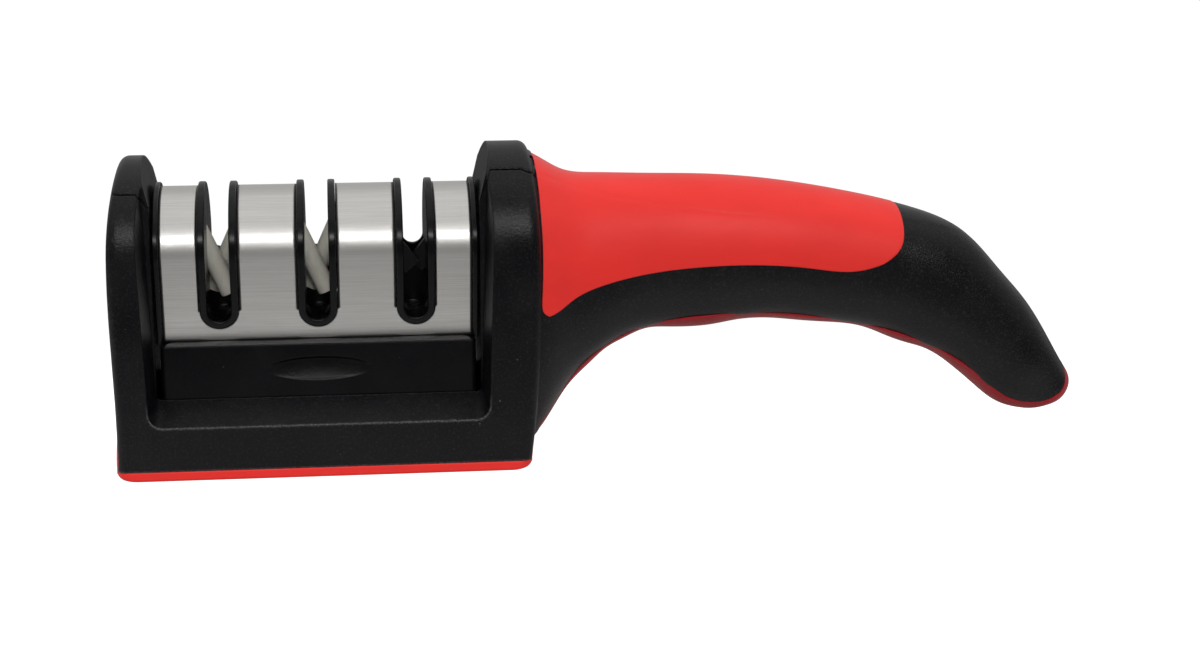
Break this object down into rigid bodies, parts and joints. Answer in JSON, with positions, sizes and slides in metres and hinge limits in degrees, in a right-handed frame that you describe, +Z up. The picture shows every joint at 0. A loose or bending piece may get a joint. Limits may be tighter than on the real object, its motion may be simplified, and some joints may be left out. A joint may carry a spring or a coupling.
{
  "type": "manual knife sharpener",
  "caption": "Hand-held pull-through knife sharpener with a lift-out slotted cartridge between two towers, a flat base and a curved soft-grip handle.",
  "frame": {"origin": "on the flat underside of the sole, straight below the middle slot", "axes": "+X along the handle away from the slots, +Y from the front face to the back face, +Z up"},
  "size_m": [0.2146, 0.0444, 0.0686],
  "materials": {
    "black_moulding": "fine moulded texture",
    "black_gloss": "smooth satin gloss",
    "red_soft_grip": "soft matt",
    "brushed_cover": "brushed along the length",
    "white_ceramic": "fine matt",
    "carbide": "ground",
    "zinc_screws": "zinc plated"
  },
  "bodies": {
    "sharpener_body": {"main_housing": "black_moulding", "left_tower_cap": "black_moulding", "handle_cover": "black_moulding", "top_grip": "red_soft_grip", "under_grip": "red_soft_grip", "base_sole": "red_soft_grip", "base_plate": "black_moulding", "base_screws": "zinc_screws"},
    "cartridge": {"cartridge_tray": "black_moulding", "cartridge_screws": "zinc_screws", "slot_frame": "black_gloss", "steel_cover": "brushed_cover", "stage_1_front_rod": "white_ceramic", "stage_1_rear_rod": "white_ceramic", "stage_2_front_rod": "white_ceramic", "stage_2_rear_rod": "white_ceramic", "stage_1_rod_holder": "black_moulding", "stage_2_rod_holder": "black_moulding", "carbide_blade_front": "carbide", "carbide_blade_rear": "carbide", "carbide_blade_holder": "black_moulding", "carbide_blade_screws": "zinc_screws"}
  },
  "joints": [
    {"name": "cartridge_lift", "type": "slide", "parent": "sharpener_body", "child": "cartridge", "axis": [0, 0, 1], "range_m": [0, 0.065]}
  ]
}
